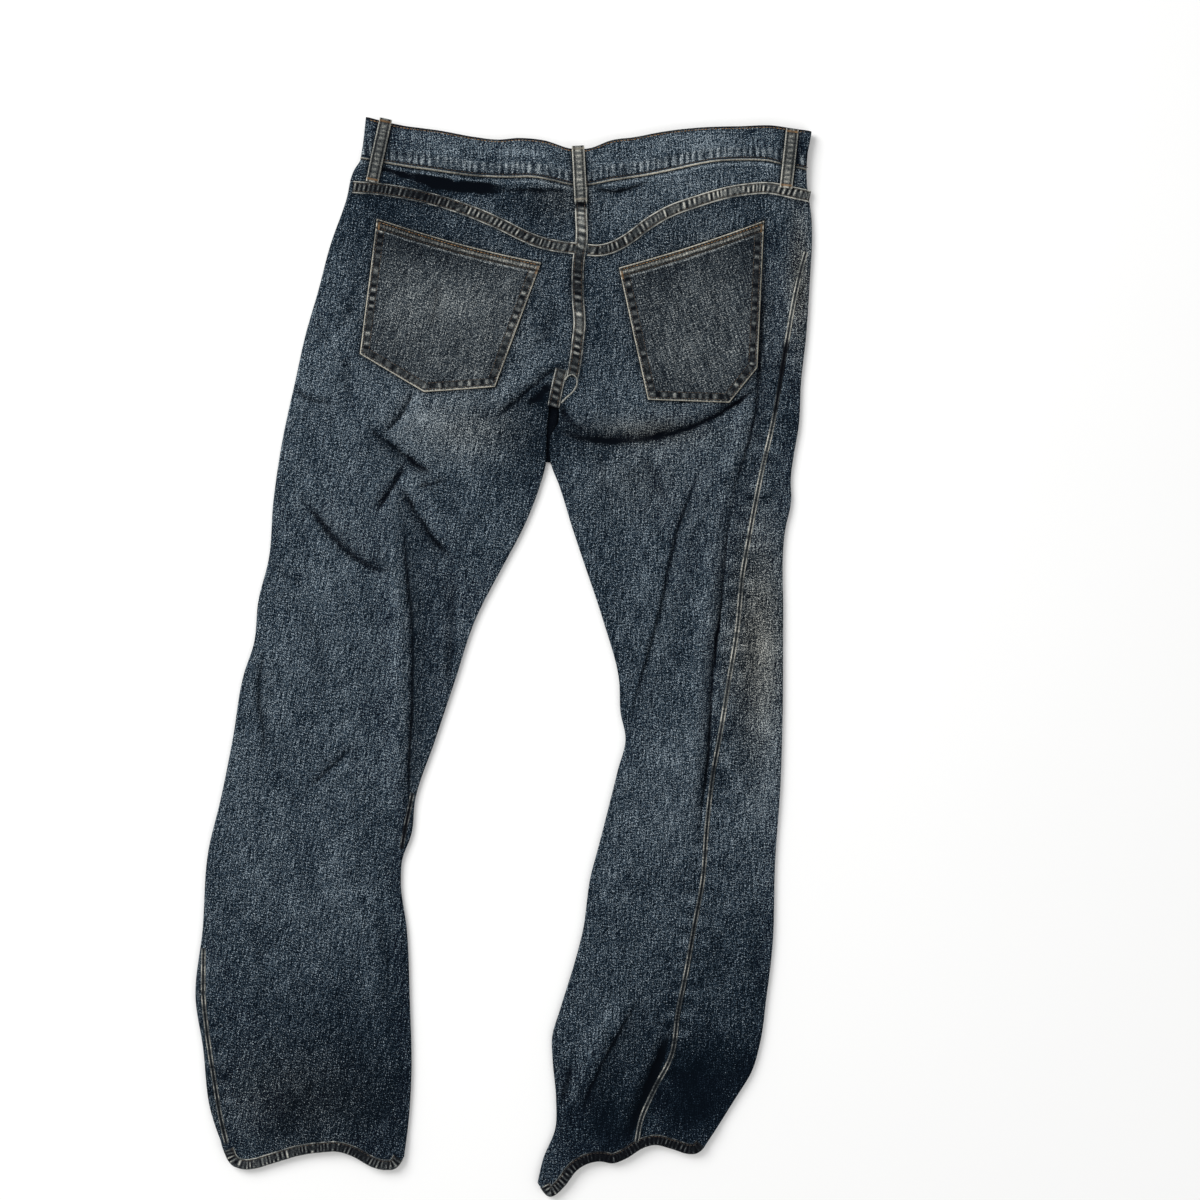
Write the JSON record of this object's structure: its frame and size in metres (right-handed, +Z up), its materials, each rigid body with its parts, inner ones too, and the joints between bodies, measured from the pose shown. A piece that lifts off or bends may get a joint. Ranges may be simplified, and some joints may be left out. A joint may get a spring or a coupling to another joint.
{
  "type": "tapered jeans",
  "caption": "Tapered five-pocket jeans in washed denim, laid flat with the seat side up; yokes, patch pockets, belt loops and turned hems.",
  "frame": {"origin": "middle of the laid garment's box, on the surface that it lies on", "axes": "+Z up from the surface, +Y towards the waist, +X to the right of someone who looks down at the seat side"},
  "size_m": [0.6163, 1.0789, 0.0127],
  "materials": {
    "denim": "washed indigo twill, matt",
    "worn_denim": "washed indigo twill, rubbed pale",
    "aged_copper": "dull aged copper"
  },
  "bodies": {
    "root": {"back_left": "denim", "back_right": "denim", "front_left": "denim", "front_right": "denim", "yoke_left": "denim", "yoke_right": "denim", "waistband": "denim", "fly_flap": "denim", "front_pocket_facing_left": "denim", "front_pocket_facing_right": "denim", "back_pocket_left": "worn_denim", "back_pocket_right": "worn_denim", "belt_loop_back_left": "worn_denim", "belt_loop_back_middle": "worn_denim", "belt_loop_back_right": "worn_denim", "belt_loop_front_left": "worn_denim", "belt_loop_front_right": "worn_denim", "waist_button": "aged_copper"}
  },
  "joints": []
}
